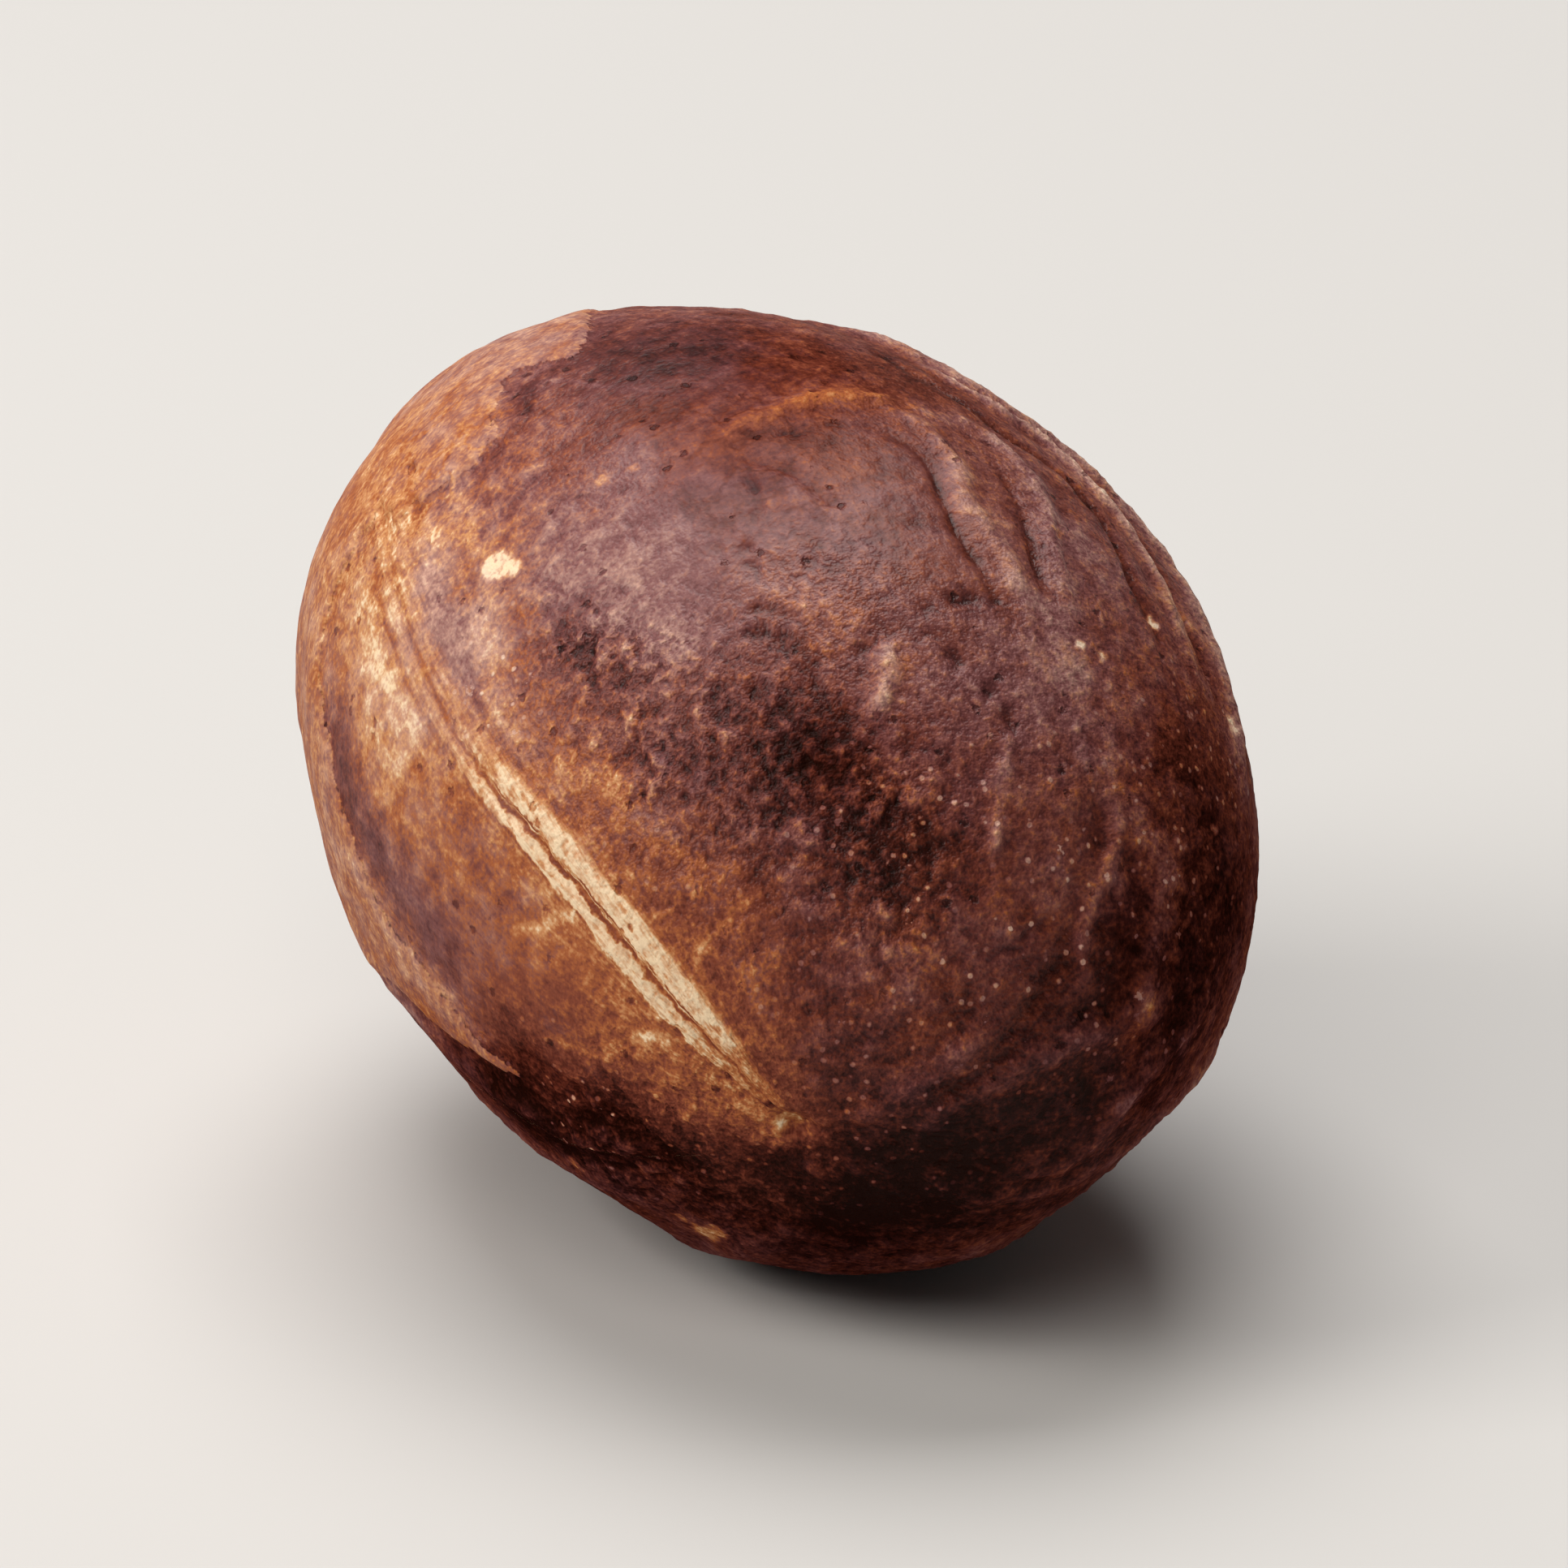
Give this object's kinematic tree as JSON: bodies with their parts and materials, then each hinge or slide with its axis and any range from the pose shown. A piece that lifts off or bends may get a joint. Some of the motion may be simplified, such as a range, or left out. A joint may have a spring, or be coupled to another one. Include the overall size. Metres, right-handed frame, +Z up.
{
  "type": "whole nutmeg",
  "caption": "Whole dried nutmeg in its hard brown shell: an egg-shaped seed with a pale raised seam down one side and shallow ridges, lying on its side.",
  "frame": {"origin": "on the floor below the middle of the bounding box, in the plane of the small flat rest spot", "axes": "+Z up; +Y along the nutmeg's length, away from the hilum end; the seam is on the -X side"},
  "size_m": [0.0232, 0.0312, 0.0232],
  "materials": {
    "nutmeg_shell": "semi-gloss"
  },
  "bodies": {
    "root": {"nutmeg": "nutmeg_shell"}
  },
  "joints": []
}
